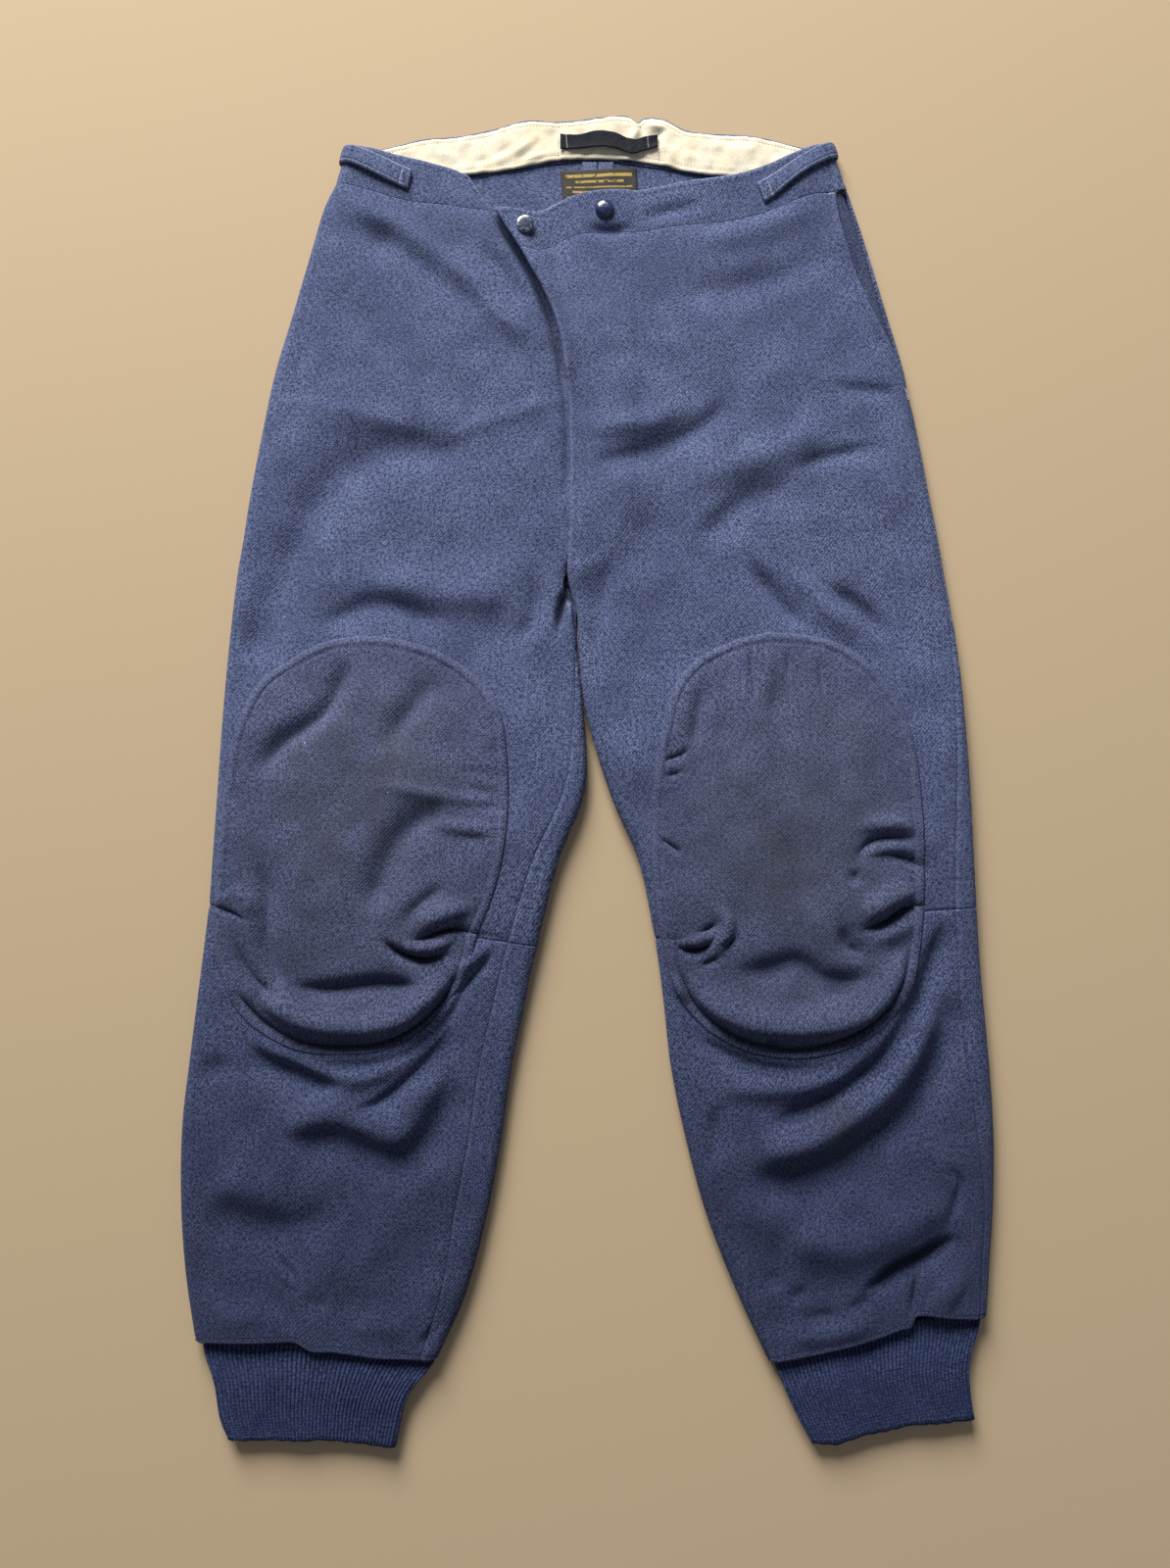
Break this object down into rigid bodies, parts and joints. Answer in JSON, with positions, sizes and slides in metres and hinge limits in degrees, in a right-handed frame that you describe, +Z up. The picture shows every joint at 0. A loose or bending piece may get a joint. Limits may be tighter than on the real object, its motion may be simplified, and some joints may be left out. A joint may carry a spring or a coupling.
{
  "type": "flying trousers laid flat",
  "caption": "Blue wool flying trousers laid flat, with knee patches, waist tabs, open snap fly and ribbed knit cuffs.",
  "frame": {"origin": "middle of the whole garment, on the surface it lies on", "axes": "+Y along the legs towards the waist, +X towards the wearer's left, +Z up out of the front of the garment"},
  "size_m": [0.6205, 1.054, 0.0319],
  "materials": {
    "wool_twill": "mid-weight blue wool twill, napped, slightly faded",
    "patch_twill": "blue wool twill, rubbed and lightly soiled",
    "rib_knit": "navy wool rib knit",
    "facing_cotton": "cream cotton twill, aged and creased",
    "loop_tape": "dark navy cotton tape",
    "woven_label": "black woven label with plain gold lines",
    "navy_enamel": "glossy dark navy enamel over brass",
    "worn_snap": "navy enamel worn to bare metal at the rim"
  },
  "bodies": {
    "root": {"front_right_upper": "wool_twill", "front_right_lower": "wool_twill", "front_left_upper": "wool_twill", "front_left_lower": "wool_twill", "back_right_upper": "wool_twill", "back_right_lower": "wool_twill", "back_left_upper": "wool_twill", "back_left_lower": "wool_twill", "pocket_bearer_right": "wool_twill", "pocket_bearer_left": "wool_twill", "waistband_front_right": "wool_twill", "waistband_front_left": "wool_twill", "waistband_back_right": "wool_twill", "waistband_back_left": "wool_twill", "waist_tab_right": "wool_twill", "waist_tab_left": "wool_twill", "knee_patch_right": "patch_twill", "knee_patch_left": "patch_twill", "cuff_right": "rib_knit", "cuff_left": "rib_knit", "waist_facing": "facing_cotton", "hanger_loop": "loop_tape", "label": "woven_label", "snap_cap": "navy_enamel", "snap_ring": "worn_snap"}
  },
  "joints": []
}
